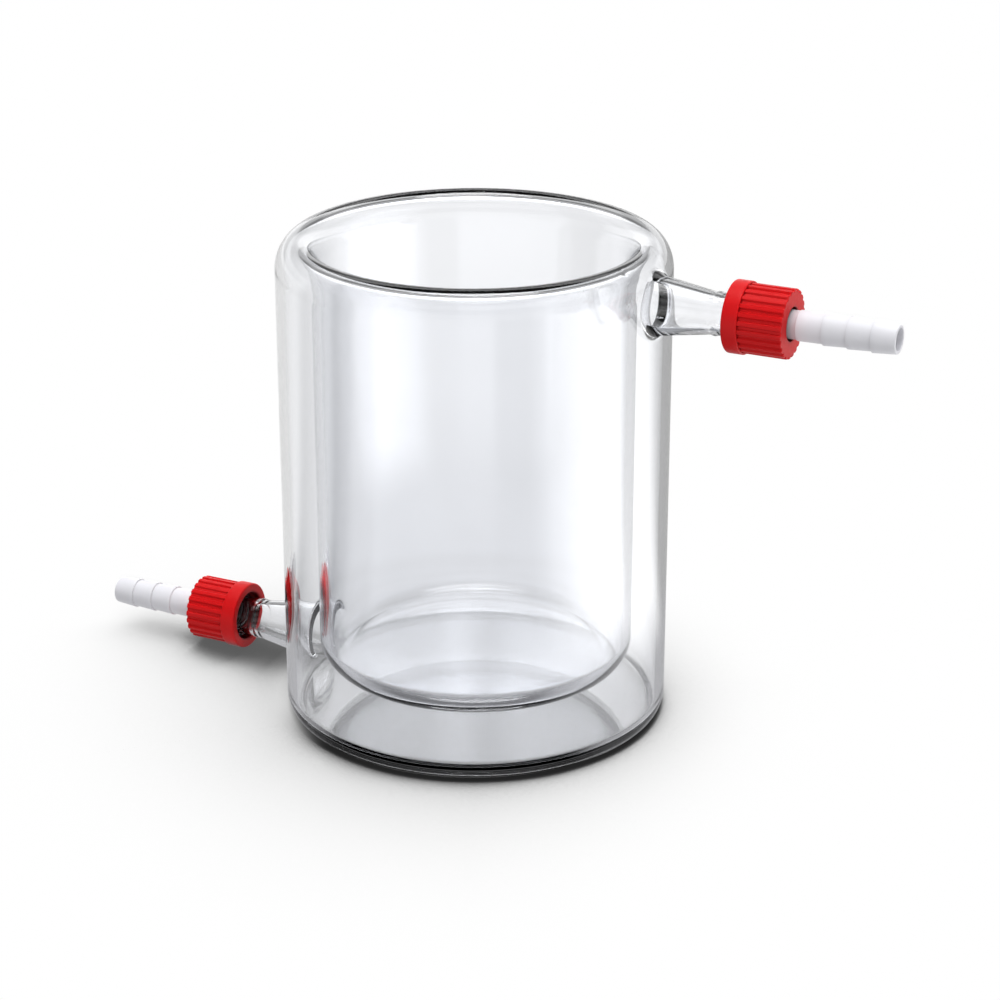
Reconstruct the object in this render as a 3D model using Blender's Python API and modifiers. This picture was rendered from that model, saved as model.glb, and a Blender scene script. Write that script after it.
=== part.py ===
"""Jacketed glass beaker with two screwed hose connectors, built as separate named pieces.

Run with: blender --background --python part.py
Units are metres. +Z is up, the base stands on Z = 0 and the vessel's axis is the Z axis.
The upper connector points along +X and the lower one along -X. Both are built once in a
port frame, whose +Z runs outward along the connector and starts on the vessel's axis.
"""
import math

import bmesh
import bpy

MM = 0.001
GAP = 0.3 * MM                      # room left between pieces that touch or are fused

# Vessel
JACKET_RADIUS = 55.0 * MM
JACKET_WALL = 2.6 * MM
BASE_THICKNESS = 3.0 * MM
BASE_CORNER = 4.6 * MM
BASE_INNER_CORNER = 3.0 * MM
VESSEL_HEIGHT = 140.0 * MM
RIM_HALF_WIDTH = 6.25 * MM          # half the width of the rounded rim that joins the two walls
RIM_HEIGHT = 8.7 * MM
RIM_WALL = 2.6 * MM
CUP_WALL = 2.6 * MM
CUP_UNDERSIDE = 14.0 * MM
CUP_FLOOR = 17.2 * MM
CUP_CORNER = 8.3 * MM
CUP_INNER_CORNER = 5.7 * MM

# Side arms, as distances from the vessel's axis and radii about the connector's axis
UPPER_PORT_HEIGHT = 127.75 * MM
LOWER_PORT_HEIGHT = 10.7 * MM
ARM_HOLE_RADIUS = 5.8 * MM
HOLE_START = 49.5 * MM
HOLE_END = 60.0 * MM
ARM_START = 50.5 * MM
WELD_START = 55.0 * MM
WELD_RADIUS = 10.3 * MM
WELD_FILLET = 2.2 * MM
NECK_SEAM = 72.0 * MM
NECK_RADIUS = 5.75 * MM
NECK_BORE = 4.25 * MM
SEAM_BEAD = 0.3 * MM
SEAM_BEAD_WIDTH = 1.0 * MM
THREAD_PITCH = 2.5 * MM
NECK_THREAD_START = 78.5 * MM
NECK_THREAD_TURNS = 2.75
NECK_THREAD_CORE = 5.9 * MM
NECK_THREAD_SIZE = 0.85 * MM
NECK_END = 86.6 * MM
NECK_LIP = 0.6 * MM                 # rounding of the neck's end

# Screw cap
CAP_MOUTH = 76.5 * MM
CAP_SKIRT_END = 81.0 * MM
CAP_FACE = 93.2 * MM
CAP_TOP_THICKNESS = 1.9 * MM
CAP_SKIRT_RADIUS = 9.9 * MM
CAP_RIB_RADIUS = 9.45 * MM
CAP_RIB_DEPTH = 0.5 * MM
CAP_RIBS = 24
CAP_BORE = 7.15 * MM
CAP_HOLE = 4.6 * MM
CAP_EDGE = 0.4 * MM
CAP_THREAD_TURNS = 2.0
CAP_THREAD_SIZE = 0.6 * MM

# Hose nozzle and gasket
GASKET_THICKNESS = 2.0 * MM
GASKET_RADIUS = 6.2 * MM
GASKET_BORE = 3.6 * MM
FLANGE_RADIUS = 6.3 * MM
NOZZLE_BORE = 3.1 * MM
NOZZLE_NECK_RADIUS = 3.9 * MM
BARREL_START = 95.0 * MM
BARREL_RADIUS = 4.15 * MM
BARB_ROOT_RADIUS = 4.05 * MM
BARB_SHOULDER_RADIUS = 4.42 * MM
BARB_LENGTH = 6.7 * MM
BARBS = 3
NOZZLE_TIP = 122.5 * MM
TIP_RADIUS = 3.95 * MM
TIP_ROUND = 0.35 * MM
TIP_CHAMFER = 0.1 * MM              # inside the nozzle's tip
BARB_STEP = 0.05 * MM               # how far a barb's shoulder runs back
COLLAR = 0.2 * MM

VESSEL_STEPS = 48
ARM_STEPS = 24
HELIX_STEPS = 12                    # points in each turn of a thread
PAST = 1.0 * MM                     # how far a cutter runs past the surface it cuts

GLASS = ("clear_glass", (0.93, 0.96, 0.97, 1.0), 0.03)
RED = ("red_plastic", (0.72, 0.02, 0.03, 1.0), 0.4)
WHITE = ("white_plastic", (0.86, 0.86, 0.89, 1.0), 0.45)
SILICONE = ("silicone", (0.78, 0.76, 0.72, 1.0), 0.6)


def clear_scene():
    for item in list(bpy.data.objects):
        bpy.data.objects.remove(item, do_unlink=True)


def new_collection(name):
    group = bpy.data.collections.new(name)
    bpy.context.scene.collection.children.link(group)
    return group


def new_material(name, colour, roughness):
    """Each piece gets a Principled material of its own."""
    material = bpy.data.materials.new(name)
    material.use_nodes = True
    shader = material.node_tree.nodes["Principled BSDF"]
    shader.inputs["Base Color"].default_value = colour
    shader.inputs["Roughness"].default_value = roughness
    shader.inputs["Metallic"].default_value = 0.0
    if name.endswith(GLASS[0]):
        shader.inputs["Transmission Weight"].default_value = 1.0
        shader.inputs["IOR"].default_value = 1.47
    return material


def add_object(name, mesh, group, frame=None, finish=None):
    item = bpy.data.objects.new(name, mesh)
    group.objects.link(item)
    item.parent = frame
    if finish:
        slot, colour, roughness = finish
        mesh.materials.append(new_material(f"{name}_{slot}", colour, roughness))
    else:
        item.display_type = "WIRE"
        item.hide_render = True
    return item


def arc(centre_r, centre_z, radius_r, radius_z, start, end, steps):
    """Profile points (r, z) along an ellipse arc, with angles in degrees from +r towards +z."""
    points = []
    for i in range(steps + 1):
        angle = math.radians(start + (end - start) * i / steps)
        points.append((centre_r + radius_r * math.cos(angle), centre_z + radius_z * math.sin(angle)))
    return points


def turned(name, profile, steps, group, closed=False, **placing):
    """A profile of (r, z) points turned about Z, whose outer side runs from the top down."""
    mesh = bpy.data.meshes.new(name)
    edges = [(i, i + 1) for i in range(len(profile) - 1)]
    if closed:
        edges.append((len(profile) - 1, 0))
    mesh.from_pydata([(r, 0.0, z) for r, z in profile], edges, [])
    item = add_object(name, mesh, group, **placing)
    screw = item.modifiers.new("Turn", "SCREW")
    screw.axis = "Z"
    screw.angle = math.tau
    screw.steps = steps
    screw.render_steps = steps
    screw.use_merge_vertices = True
    screw.merge_threshold = 0.00001
    screw.use_smooth_shade = True
    return item


def curve_to_mesh(curve_object, group, frame, finish=None):
    """Replace a curve object by a welded mesh object in the same place."""
    bpy.context.view_layer.update()
    evaluated = curve_object.evaluated_get(bpy.context.evaluated_depsgraph_get())
    mesh = bpy.data.meshes.new_from_object(evaluated)
    name = curve_object.name
    place = curve_object.matrix_world.copy()
    bpy.data.objects.remove(curve_object, do_unlink=True)
    shape = bmesh.new()
    shape.from_mesh(mesh)
    bmesh.ops.remove_doubles(shape, verts=shape.verts, dist=0.000001)
    shape.to_mesh(mesh)
    shape.free()
    item = add_object(name, mesh, group, frame, finish)
    item.matrix_world = place
    return item


def helix(name, radius, size, start, turns, phase, group, frame):
    """A right-handed round ridge about the port frame's Z axis."""
    curve = bpy.data.curves.new(name, "CURVE")
    curve.dimensions = "3D"
    curve.bevel_depth = size
    curve.bevel_resolution = 2
    curve.use_fill_caps = True
    count = round(HELIX_STEPS * turns) + 1
    line = curve.splines.new("POLY")
    line.points.add(count - 1)
    for i, point in enumerate(line.points):
        turn = i / HELIX_STEPS
        angle = phase + math.tau * turn
        point.co = (radius * math.cos(angle), radius * math.sin(angle), start + THREAD_PITCH * turn, 1.0)
    item = bpy.data.objects.new(name, curve)
    group.objects.link(item)
    item.parent = frame
    return curve_to_mesh(item, group, frame)


def combine(item, other, operation):
    change = item.modifiers.new(f"{operation.title()} {other.name}", "BOOLEAN")
    change.operation = operation
    change.solver = "EXACT"
    change.object = other


def port_frame(name, height, turn):
    """An empty on the connector's axis, whose +Z points outward from the vessel."""
    frame = bpy.data.objects.new(name, None)
    bpy.context.scene.collection.objects.link(frame)
    frame.location = (0.0, 0.0, height)
    frame.rotation_euler = (0.0, math.pi / 2, turn)
    return frame


def rim_arc(half_width, height, start, end, steps=8):
    spring_line = VESSEL_HEIGHT - RIM_HEIGHT
    centre = JACKET_RADIUS - RIM_HALF_WIDTH
    return arc(centre, spring_line, half_width, height, start, end, steps)


def inner_beaker(parts):
    """The flat-bottomed cup, whose lip curls outward into the rounded rim."""
    inner = JACKET_RADIUS - 2 * RIM_HALF_WIDTH
    outer = inner + CUP_WALL
    seam = VESSEL_HEIGHT - RIM_HEIGHT + GAP / 2
    profile = [(0.0, CUP_FLOOR)]
    profile += arc(inner - CUP_INNER_CORNER, CUP_FLOOR + CUP_INNER_CORNER,
                   CUP_INNER_CORNER, CUP_INNER_CORNER, -90, 0, 6)
    profile += rim_arc(RIM_HALF_WIDTH, RIM_HEIGHT, 180, 2)
    profile += [(JACKET_RADIUS, seam), (JACKET_RADIUS - JACKET_WALL, seam)]
    profile += rim_arc(RIM_HALF_WIDTH - RIM_WALL, RIM_HEIGHT - RIM_WALL, 3, 180)
    profile += arc(outer - CUP_CORNER, CUP_UNDERSIDE + CUP_CORNER, CUP_CORNER, CUP_CORNER, 0, -90, 6)
    profile += [(0.0, CUP_UNDERSIDE)]
    return turned("inner_beaker", profile, VESSEL_STEPS, parts, finish=GLASS)


def outer_jacket(parts):
    """The outer tube and its flat base, in one blown piece."""
    inner = JACKET_RADIUS - JACKET_WALL
    seam = VESSEL_HEIGHT - RIM_HEIGHT - GAP / 2
    profile = [(0.0, BASE_THICKNESS)]
    profile += arc(inner - BASE_INNER_CORNER, BASE_THICKNESS + BASE_INNER_CORNER,
                   BASE_INNER_CORNER, BASE_INNER_CORNER, -90, 0, 4)
    profile += [(inner, seam), (JACKET_RADIUS, seam)]
    profile += arc(JACKET_RADIUS - BASE_CORNER, BASE_CORNER, BASE_CORNER, BASE_CORNER, 0, -90, 6)
    profile += [(0.0, 0.0)]
    return turned("outer_jacket", profile, VESSEL_STEPS, parts, finish=GLASS)


def vessel_envelope(cutters):
    """The vessel's outside grown by the gap, which trims the arms to its surface."""
    profile = [(0.0, VESSEL_HEIGHT + GAP)]
    profile += rim_arc(RIM_HALF_WIDTH + GAP, RIM_HEIGHT + GAP, 90, 0)
    profile += arc(JACKET_RADIUS - BASE_CORNER, BASE_CORNER, BASE_CORNER + GAP, BASE_CORNER + GAP, 0, -90, 6)
    profile += [(0.0, -GAP)]
    return turned("vessel_envelope", profile, VESSEL_STEPS, cutters)


def arm_hole(prefix, frame, cutters):
    """A plug along the connector, which cuts its hole in the jacket's wall."""
    profile = [(0.0, HOLE_END), (ARM_HOLE_RADIUS, HOLE_END), (ARM_HOLE_RADIUS, HOLE_START), (0.0, HOLE_START)]
    return turned(f"{prefix}_hole", profile, ARM_STEPS, cutters, frame=frame)


def arm_cone(prefix, frame, envelope, parts):
    """The tapered tube that is welded to the jacket, with the weld's bead at its root."""
    end = NECK_SEAM - GAP / 2
    bead = NECK_RADIUS + SEAM_BEAD
    profile = [(NECK_BORE, end), (bead, end), (bead, end - SEAM_BEAD_WIDTH)]
    profile += arc(WELD_RADIUS, WELD_START + WELD_FILLET, WELD_FILLET, WELD_FILLET, 170, 270, 5)
    profile += [(WELD_RADIUS, ARM_START), (ARM_HOLE_RADIUS, ARM_START), (ARM_HOLE_RADIUS, WELD_START)]
    cone = turned(f"{prefix}_arm_cone", profile, ARM_STEPS, parts, closed=True, frame=frame, finish=GLASS)
    combine(cone, envelope, "DIFFERENCE")
    return cone


def arm_neck(prefix, frame, parts, cutters):
    """The threaded tube at the arm's end."""
    start = NECK_SEAM + GAP / 2
    bead = NECK_RADIUS + SEAM_BEAD
    profile = arc(NECK_THREAD_CORE - NECK_LIP, NECK_END - NECK_LIP, NECK_LIP, NECK_LIP, 90, 0, 3)
    profile += [(NECK_THREAD_CORE, NECK_THREAD_START - THREAD_PITCH / 2),
                (NECK_RADIUS, NECK_THREAD_START - THREAD_PITCH),
                (NECK_RADIUS, start + SEAM_BEAD_WIDTH),
                (bead, start + SEAM_BEAD_WIDTH / 2),
                (bead, start),
                (NECK_BORE, start),
                (NECK_BORE, NECK_END - NECK_LIP),
                (NECK_BORE + NECK_LIP / 2, NECK_END)]
    neck = turned(f"{prefix}_arm_neck", profile, ARM_STEPS, parts, closed=True, frame=frame, finish=GLASS)
    ridge = helix(f"{prefix}_neck_thread", NECK_THREAD_CORE, NECK_THREAD_SIZE,
                  NECK_THREAD_START, NECK_THREAD_TURNS, 0.0, cutters, frame)
    combine(neck, ridge, "UNION")
    return neck


def cap_body(name, frame, parts):
    """The ribbed barrel of the cap: an outline with a flat rib, a flat groove and sloping sides."""
    curve = bpy.data.curves.new(name, "CURVE")
    curve.dimensions = "2D"
    curve.fill_mode = "BOTH"
    length = CAP_FACE - (CAP_MOUTH + CAP_SKIRT_END) / 2
    curve.extrude = length / 2
    groove = CAP_RIB_RADIUS - CAP_RIB_DEPTH
    corners = [(-0.22, CAP_RIB_RADIUS), (0.22, CAP_RIB_RADIUS), (0.37, groove), (0.63, groove)]
    line = curve.splines.new("POLY")
    line.points.add(CAP_RIBS * len(corners) - 1)
    line.use_cyclic_u = True
    for i, point in enumerate(line.points):
        share, radius = corners[i % len(corners)]
        angle = math.tau * (i // len(corners) + share) / CAP_RIBS
        point.co = (radius * math.cos(angle), radius * math.sin(angle), 0.0, 1.0)
    item = bpy.data.objects.new(name, curve)
    parts.objects.link(item)
    item.parent = frame
    item.location = (0.0, 0.0, CAP_FACE - length / 2)
    return curve_to_mesh(item, parts, frame, RED)


def screw_cap(prefix, frame, parts, cutters):
    """The ribbed cap with its plain skirt, threaded bore and the hole for the nozzle."""
    cap = cap_body(f"{prefix}_cap", frame, parts)
    skirt_profile = [(0.0, CAP_SKIRT_END)]
    skirt_profile += arc(CAP_SKIRT_RADIUS - CAP_EDGE, CAP_SKIRT_END - CAP_EDGE, CAP_EDGE, CAP_EDGE, 90, 0, 3)
    skirt_profile += arc(CAP_SKIRT_RADIUS - CAP_EDGE, CAP_MOUTH + CAP_EDGE, CAP_EDGE, CAP_EDGE, 0, -90, 3)
    skirt_profile += [(0.0, CAP_MOUTH)]
    skirt = turned(f"{prefix}_cap_skirt", skirt_profile, 2 * CAP_RIBS, cutters, frame=frame)
    top = CAP_FACE - CAP_TOP_THICKNESS
    bore_profile = [(0.0, CAP_FACE + PAST), (CAP_HOLE, CAP_FACE + PAST), (CAP_HOLE, top),
                    (CAP_BORE, top), (CAP_BORE, CAP_MOUTH - PAST), (0.0, CAP_MOUTH - PAST)]
    bore = turned(f"{prefix}_cap_bore", bore_profile, ARM_STEPS, cutters, frame=frame)
    ridge = helix(f"{prefix}_cap_thread", CAP_BORE, CAP_THREAD_SIZE, NECK_THREAD_START,
                  CAP_THREAD_TURNS, math.pi, cutters, frame)
    combine(cap, skirt, "UNION")
    combine(cap, bore, "DIFFERENCE")
    combine(cap, ridge, "UNION")
    return cap


def gasket(prefix, frame, parts):
    """The flat ring that seals the nozzle's flange to the neck's end."""
    low = NECK_END + GAP
    high = low + GASKET_THICKNESS
    profile = [(GASKET_BORE, high), (GASKET_RADIUS, high), (GASKET_RADIUS, low), (GASKET_BORE, low)]
    return turned(f"{prefix}_gasket", profile, ARM_STEPS, parts, closed=True, frame=frame, finish=SILICONE)


def hose_nozzle(prefix, frame, parts):
    """The barbed nozzle, held by a flange under the cap's top."""
    flange_low = NECK_END + 2 * GAP + GASKET_THICKNESS
    flange_high = CAP_FACE - CAP_TOP_THICKNESS - GAP
    profile = [(NOZZLE_BORE, NOZZLE_TIP - TIP_ROUND), (NOZZLE_BORE + TIP_CHAMFER, NOZZLE_TIP)]
    profile += arc(TIP_RADIUS - TIP_ROUND, NOZZLE_TIP - TIP_ROUND, TIP_ROUND, TIP_ROUND, 90, 0, 3)
    for barb in range(1, BARBS + 1):
        shoulder = NOZZLE_TIP - barb * BARB_LENGTH
        profile += [(BARB_SHOULDER_RADIUS, shoulder), (BARB_ROOT_RADIUS, shoulder - BARB_STEP)]
    profile += [(BARREL_RADIUS, BARREL_START + COLLAR),
                (NOZZLE_NECK_RADIUS, BARREL_START),
                (NOZZLE_NECK_RADIUS, flange_high),
                (FLANGE_RADIUS, flange_high),
                (FLANGE_RADIUS, flange_low),
                (NOZZLE_BORE, flange_low)]
    return turned(f"{prefix}_nozzle", profile, ARM_STEPS, parts, closed=True, frame=frame, finish=WHITE)


def connector(prefix, height, turn, envelope, parts, cutters):
    """One side arm with its cap, gasket and nozzle. Gives back the plug for its hole."""
    frame = port_frame(f"{prefix}_port", height, turn)
    arm_cone(prefix, frame, envelope, parts)
    arm_neck(prefix, frame, parts, cutters)
    screw_cap(prefix, frame, parts, cutters)
    gasket(prefix, frame, parts)
    hose_nozzle(prefix, frame, parts)
    return arm_hole(prefix, frame, cutters)


def main():
    clear_scene()
    parts = new_collection("jacketed_beaker")
    cutters = new_collection("cutters")
    cup = inner_beaker(parts)
    jacket = outer_jacket(parts)
    envelope = vessel_envelope(cutters)
    upper_hole = connector("upper", UPPER_PORT_HEIGHT, 0.0, envelope, parts, cutters)
    lower_hole = connector("lower", LOWER_PORT_HEIGHT, math.pi, envelope, parts, cutters)
    combine(cup, upper_hole, "DIFFERENCE")
    combine(jacket, upper_hole, "DIFFERENCE")
    combine(jacket, lower_hole, "DIFFERENCE")


main()
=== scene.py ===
"""Looks of the jacketed beaker: one fused glass body, ribbed caps, barbed nozzles and gaskets.

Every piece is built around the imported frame. Each connector is shaped in a port frame of
(out, side, up): out runs from the vessel's axis along the connector, and up is world up.
"""
import math

import bmesh
import bpy
import numpy as np
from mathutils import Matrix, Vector


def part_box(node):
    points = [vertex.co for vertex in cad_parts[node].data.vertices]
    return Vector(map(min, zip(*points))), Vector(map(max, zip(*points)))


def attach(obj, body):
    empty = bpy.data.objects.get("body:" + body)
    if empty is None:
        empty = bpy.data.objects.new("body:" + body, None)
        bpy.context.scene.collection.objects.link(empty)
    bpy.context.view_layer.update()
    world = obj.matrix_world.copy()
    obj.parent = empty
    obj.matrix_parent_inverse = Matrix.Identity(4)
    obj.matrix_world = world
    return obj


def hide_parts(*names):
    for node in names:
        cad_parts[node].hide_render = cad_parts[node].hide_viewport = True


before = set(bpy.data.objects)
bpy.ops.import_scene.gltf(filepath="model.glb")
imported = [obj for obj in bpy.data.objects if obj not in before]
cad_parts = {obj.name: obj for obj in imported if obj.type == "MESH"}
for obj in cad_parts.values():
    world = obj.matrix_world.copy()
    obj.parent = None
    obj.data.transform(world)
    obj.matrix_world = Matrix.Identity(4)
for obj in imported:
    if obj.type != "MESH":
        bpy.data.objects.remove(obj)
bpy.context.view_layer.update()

MM = 0.001
HAIR = 0.0001 * MM                  # heights closer than this are the same

# Places read from the frame
JACKET_HIGH = np.array(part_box("outer_jacket")[1])
CUP_LOW, CUP_HIGH = (np.array(corner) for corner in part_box("inner_beaker"))
NECK_LOW, NECK_HIGH = (np.array(corner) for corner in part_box("upper_arm_neck"))
CAP_LOW, CAP_HIGH = (np.array(corner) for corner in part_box("upper_cap"))
GASKET_LOW, GASKET_HIGH = (np.array(corner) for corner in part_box("upper_gasket"))
NOZZLE_LOW, NOZZLE_HIGH = (np.array(corner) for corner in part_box("upper_nozzle"))

# Vessel
RADIUS = JACKET_HIGH[1]
HEIGHT = CUP_HIGH[2]
CUP_UNDERSIDE = CUP_LOW[2]
WALL = 2.6 * MM
BASE_THICKNESS = 3.0 * MM
BASE_CORNER = 4.6 * MM
BASE_INNER_CORNER = 3.0 * MM
RIM_HALF_WIDTH = 6.25 * MM
RIM_HEIGHT = 8.7 * MM
CUP_FLOOR = CUP_UNDERSIDE + 3.2 * MM
CUP_CORNER = 8.3 * MM
CUP_INNER_CORNER = 5.7 * MM
SPRING_LINE = HEIGHT - RIM_HEIGHT
RIM_CENTRE = RADIUS - RIM_HALF_WIDTH

# Side arms
ARM_ROOT = 8.0 * MM
BORE_ROOT = 6.5 * MM
WELD_SPREAD = 2.3 * MM              # how far the weld runs out over the jacket
WELD_RISE = 2.2 * MM
BORE_SPREAD = 1.3 * MM
BORE_RISE = 1.4 * MM
EDGE_STEP = 0.03                    # the share of a weld's spread that shows which way the wall runs
FILLET_HANDLE = 0.55                # how far the weld's curve follows wall and tube, as a share
NECK_SEAM = NECK_LOW[0]
NECK_END = NECK_HIGH[0]
NECK_RADIUS = 5.75 * MM
NECK_BORE = 4.25 * MM
BEAD_HEIGHT = 0.3 * MM
BEAD_WIDTH = 0.9 * MM
THREAD_PITCH = 2.5 * MM
THREAD_START = 78.5 * MM            # where a ridge starts, out from the vessel's axis
THREAD_FOOT = THREAD_START - 1.2 * MM
NECK_CORE = 5.9 * MM
NECK_THREAD = 0.85 * MM
NECK_THREAD_WIDTH = 0.95 * MM
NECK_THREAD_TURNS = 2.75
LIP = 0.6 * MM

# Screw cap
CAP_MOUTH = CAP_LOW[0]
CAP_FACE = CAP_HIGH[0]
SKIRT_RADIUS = (CAP_HIGH[2] - CAP_LOW[2]) / 2
SKIRT_END = CAP_MOUTH + 4.5 * MM
RIB_RADIUS = 9.45 * MM
RIB_DEPTH = 0.5 * MM
RIBS = 24
CAP_BORE = 7.15 * MM
CAP_HOLE = 4.6 * MM
CAP_TOP = 1.9 * MM
CAP_THREAD = 0.6 * MM
CAP_THREAD_WIDTH = 0.75 * MM
CAP_THREAD_TURNS = 2.0

# Nozzle and gasket
FLANGE_LOW = NOZZLE_LOW[0]
FLANGE_HIGH = CAP_FACE - CAP_TOP - 0.3 * MM
FLANGE_RADIUS = (NOZZLE_HIGH[2] - NOZZLE_LOW[2]) / 2
TIP = NOZZLE_HIGH[0]
TIP_RADIUS = 3.95 * MM
NOZZLE_BORE = 3.1 * MM
STEM_RADIUS = 3.9 * MM
BARREL_START = 95.0 * MM
BARREL_RADIUS = 4.15 * MM
BARB_ROOT = 4.05 * MM
BARB_SHOULDER = 4.42 * MM
BARB_LENGTH = 6.7 * MM
BARBS = 3
GASKET_BORE = 3.6 * MM

# Mesh density
COLUMNS = 240
WINDOW_COLUMNS = 18                 # columns of the jacket that each arm's patch takes the place of
PATCH_RINGS = 6
FLAT_ROWS = 5                       # rows of the wall, from the middle of the base to the cup's floor
EDGE_ROWS = 3
CORNER_ROWS = 12
LOW_ROWS = 14
MIDDLE_ROWS = 12
HIGH_ROWS = 12
RIM_ROWS = 20
CUP_ROWS = 12
CUP_CORNER_ROWS = 14
WELD_RINGS = 10
BORE_WELD_RINGS = 7
CONE_RINGS = 14
SEAM_RINGS = 14
NECK_RINGS = 3
THREAD_RINGS = 40
BORE_RINGS = 6
LIP_RINGS = 5
BORE_ROWS = 56                      # rows of the cap's threaded bore
CAP_COLUMNS_PER_RIB = 14
NOZZLE_COLUMNS = 96
GASKET_COLUMNS = 72

PORTS = {"upper": 0.0, "lower": math.pi}


def port_height(prefix):
    low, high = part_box(f"{prefix}_nozzle")
    return (low[2] + high[2]) / 2


# ---------------------------------------------------------------- shaping

class Shape:
    """Vertices and faces of one mesh while it is built."""

    def __init__(self):
        self.points = []
        self.count = 0
        self.faces = []

    def add(self, points):
        points = np.asarray(points, float).reshape(-1, 3)
        first = self.count
        self.points.append(points)
        self.count += len(points)
        return np.arange(first, self.count)

    def join(self, ring_a, ring_b):
        """Quads between two closed rings of the same length."""
        next_a = np.roll(ring_a, -1)
        next_b = np.roll(ring_b, -1)
        self.faces += np.stack([ring_a, next_a, next_b, ring_b], 1).tolist()

    def fan(self, ring, centre):
        middle = self.add([centre])[0]
        for a, b in zip(ring, np.roll(ring, -1)):
            self.faces.append([int(a), int(b), int(middle)])

    def build(self, name, material, sharp_angle=None):
        mesh = bpy.data.meshes.new(name)
        mesh.from_pydata(np.concatenate(self.points).tolist(), [], self.faces)
        solid = bmesh.new()
        solid.from_mesh(mesh)
        bmesh.ops.recalc_face_normals(solid, faces=solid.faces)
        solid.to_mesh(mesh)
        solid.free()
        mesh.shade_smooth()
        if sharp_angle:
            mesh.set_sharp_from_angle(angle=math.radians(sharp_angle))
        mesh.materials.append(material)
        item = bpy.data.objects.new(name, mesh)
        bpy.context.scene.collection.objects.link(item)
        return item


def smooth_step(value):
    value = np.clip(value, 0.0, 1.0)
    return value * value * (3 - 2 * value)


def arc(centre_r, centre_z, size_r, size_z, start, end, steps):
    """Points (r, z) along an ellipse arc, with angles in degrees from +r towards +z."""
    angles = np.radians(np.linspace(start, end, steps + 1))
    return np.stack([centre_r + size_r * np.cos(angles), centre_z + size_z * np.sin(angles)], 1)


def line(start, end, steps):
    return np.linspace(start, end, steps + 1)


def chain(*stretches):
    """Stretches of profile end to end, with shared ends kept once."""
    rows = [stretches[0]]
    for stretch in stretches[1:]:
        rows.append(np.asarray(stretch)[1:])
    return np.concatenate(rows)


class Outline:
    """A wall's section read by the distance along it."""

    def __init__(self, rows):
        self.rows = np.asarray(rows)
        steps = np.hypot(*np.diff(self.rows, axis=0).T)
        self.along = np.concatenate([[0.0], np.cumsum(steps)])

    def at(self, along):
        return np.interp(along, self.along, self.rows[:, 0]), np.interp(along, self.along, self.rows[:, 1])


# ---------------------------------------------------------------- glass

def wall_place(outline, height_map, side, height):
    """The distance along the wall and the angle of the point that the port sees at side, height."""
    along = np.interp(height, height_map[1], height_map[0])
    radius, _ = outline.at(along)
    return along, np.arcsin(side / radius)


def around(turn, out, side, up):
    """Port coordinates as world points."""
    x = out * math.cos(turn) - side * math.sin(turn)
    y = out * math.sin(turn) + side * math.cos(turn)
    return np.stack([x, y, up], -1)


def border_of(top, bottom, left, right):
    """The places round a window of the wall's grid, from the middle of its top and clockwise
    as seen with up at the top and side to the right, as (row, column) pairs."""
    middle = (left + right) // 2
    pairs = [(top, c) for c in range(middle, right)]
    pairs += [(r, right) for r in range(top, bottom, -1)]
    pairs += [(bottom, c) for c in range(right, left, -1)]
    pairs += [(r, left) for r in range(bottom, top)]
    pairs += [(top, c) for c in range(left, middle)]
    return pairs


def bezier(p0, p1, p2, p3, steps):
    """Rings on the curve from p0 to p3, without p0 and with p3."""
    rings = []
    for i in range(1, steps + 1):
        t = i / steps
        s = 1 - t
        rings.append(s ** 3 * p0 + 3 * s * s * t * p1 + 3 * s * t * t * p2 + t ** 3 * p3)
    return rings


def open_port(shape, rows, window, turn, height, root, spread, rise, taper, steps):
    """Fills a window in the wall with a patch and a smooth fillet up to a round tube.
    Gives back the tube's first ring, with its angles and its distances out."""
    grid, outline, height_map = rows
    bottom, top = window
    centre_column = round(turn / math.tau * COLUMNS)
    left = centre_column - WINDOW_COLUMNS // 2
    right = centre_column + WINDOW_COLUMNS // 2
    pairs = border_of(top, bottom, left, right)
    border = np.array([grid[r, c % COLUMNS] for r, c in pairs])
    border_along = np.array([outline.along[r] for r, _ in pairs])
    border_angle = np.array([(c - centre_column) * math.tau / COLUMNS for _, c in pairs])
    port_along = np.interp(height, height_map[1], height_map[0])
    wall_radius, _ = outline.at(border_along)
    angles = np.unwrap(np.arctan2(wall_radius * np.sin(border_angle), border_along - port_along))

    def on_wall(radius):
        return wall_place(outline, height_map, radius * np.sin(angles), height + radius * np.cos(angles))

    def wall_points(along, angle):
        radius, up = outline.at(along)
        return radius * np.cos(angle), radius * np.sin(angle), up

    edge_along, edge_angle = on_wall(root + spread)
    ring = border
    for i in range(1, PATCH_RINGS + 1):
        t = i / PATCH_RINGS
        spot = wall_points(border_along * (1 - t) + edge_along * t, border_angle * (1 - t) + edge_angle * t)
        new_ring = shape.add(around(turn, *spot))
        shape.join(ring, new_ring)
        ring = new_ring

    edge = np.stack(wall_points(edge_along, edge_angle), -1)
    just_inside = root + (1 - EDGE_STEP) * spread
    inward = np.stack(wall_points(*on_wall(just_inside)), -1) - edge
    inward /= np.linalg.norm(inward, axis=1)[:, None]
    foot = np.stack(wall_points(*on_wall(root)), -1)
    start_out = foot[:, 0] + rise
    start = np.stack([start_out, root * np.sin(angles), height + root * np.cos(angles)], -1)
    outward = np.stack([np.ones_like(angles), -taper * np.sin(angles), -taper * np.cos(angles)], -1)
    rings = bezier(edge, edge + FILLET_HANDLE * spread * inward, start - FILLET_HANDLE * rise * outward,
                   start, steps)
    for points in rings:
        new_ring = shape.add(around(turn, *points.T))
        shape.join(ring, new_ring)
        ring = new_ring
    return ring, angles, start_out


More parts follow.
